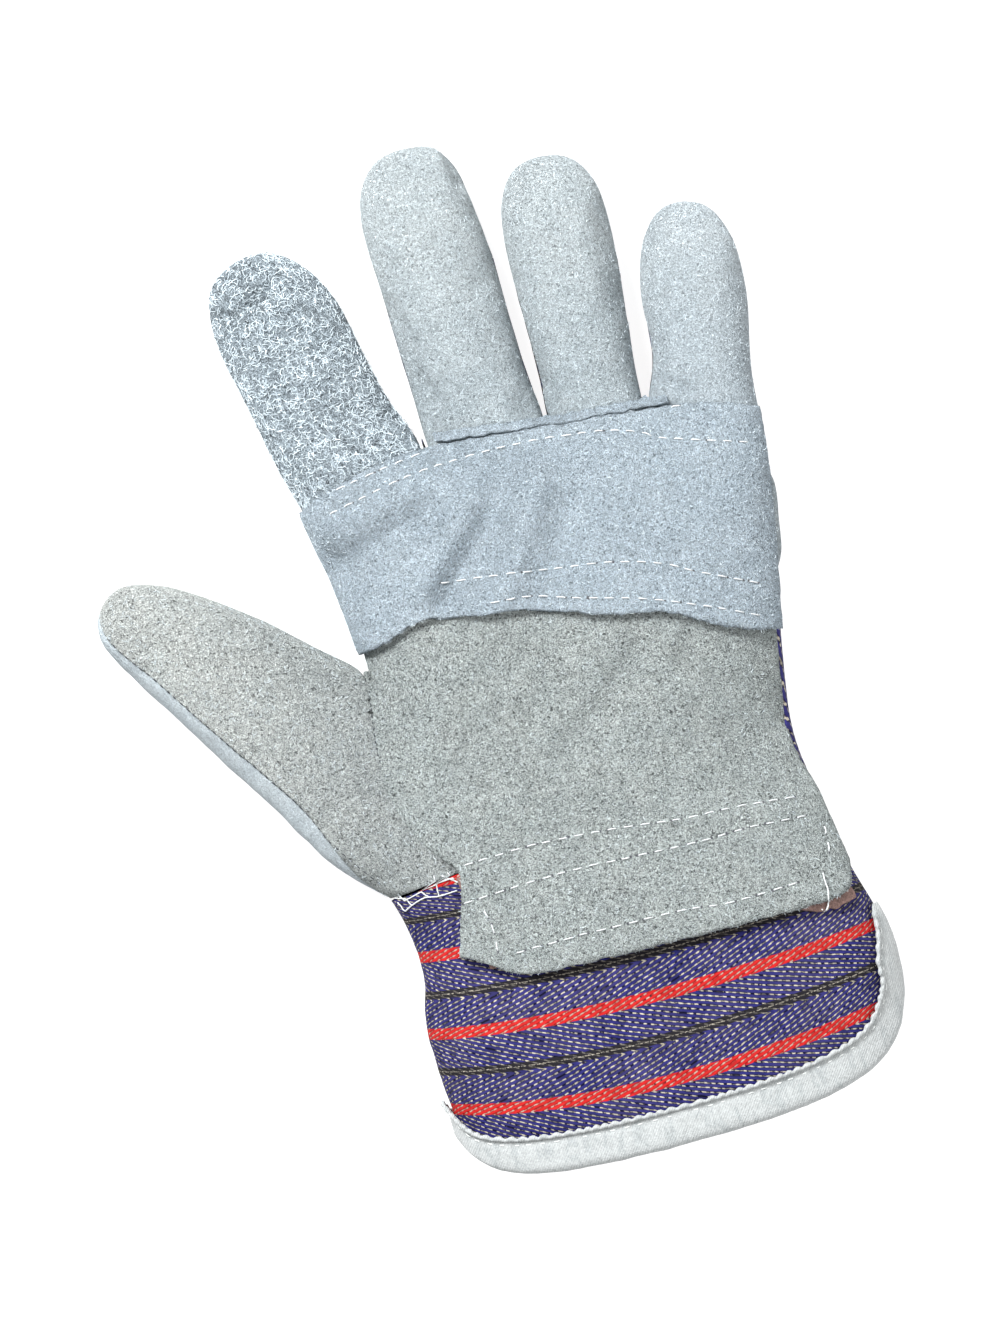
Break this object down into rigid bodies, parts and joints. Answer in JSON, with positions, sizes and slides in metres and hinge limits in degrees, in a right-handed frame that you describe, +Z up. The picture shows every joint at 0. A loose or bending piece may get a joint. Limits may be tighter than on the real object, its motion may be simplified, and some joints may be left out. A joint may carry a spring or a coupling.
{
  "type": "rigger glove",
  "caption": "Left-hand rigger glove of split leather and striped cotton drill, with a palm patch, knuckle strap and bound safety cuff, lying palm up.",
  "frame": {"origin": "on the floor under the middle of the knuckle strap, where the back of the glove rests", "axes": "+Z up out of the palm, +Y along the hand towards the fingertips, +X towards the little finger's side"},
  "size_m": [0.194, 0.2794, 0.0455],
  "materials": {
    "palm_suede": "split leather, napped, matt",
    "patch_suede": "split leather, napped, matt",
    "index_suede": "split leather with a long coarse nap, matt",
    "pale_suede": "split leather, napped, matt",
    "drill": "blue cotton twill with red and black stripes and an undyed weft",
    "fibre_board": "brown rubberised stiffener, matt",
    "white_twill": "white cotton twill tape"
  },
  "bodies": {
    "root": {"palm_leather": "palm_suede", "palm_patch": "patch_suede", "finger_base_welt": "pale_suede", "index_front": "index_suede", "middle_front": "pale_suede", "ring_front": "pale_suede", "little_front": "patch_suede", "index_back": "index_suede", "middle_back": "drill", "ring_back": "drill", "little_back": "drill", "middle_tip": "pale_suede", "ring_tip": "pale_suede", "little_tip": "pale_suede", "thumb_front": "palm_suede", "thumb_back": "pale_suede", "back_panel": "drill", "knuckle_strap": "pale_suede", "cuff": "drill", "cuff_stiffener": "fibre_board", "hem_binding": "white_twill"}
  },
  "joints": []
}
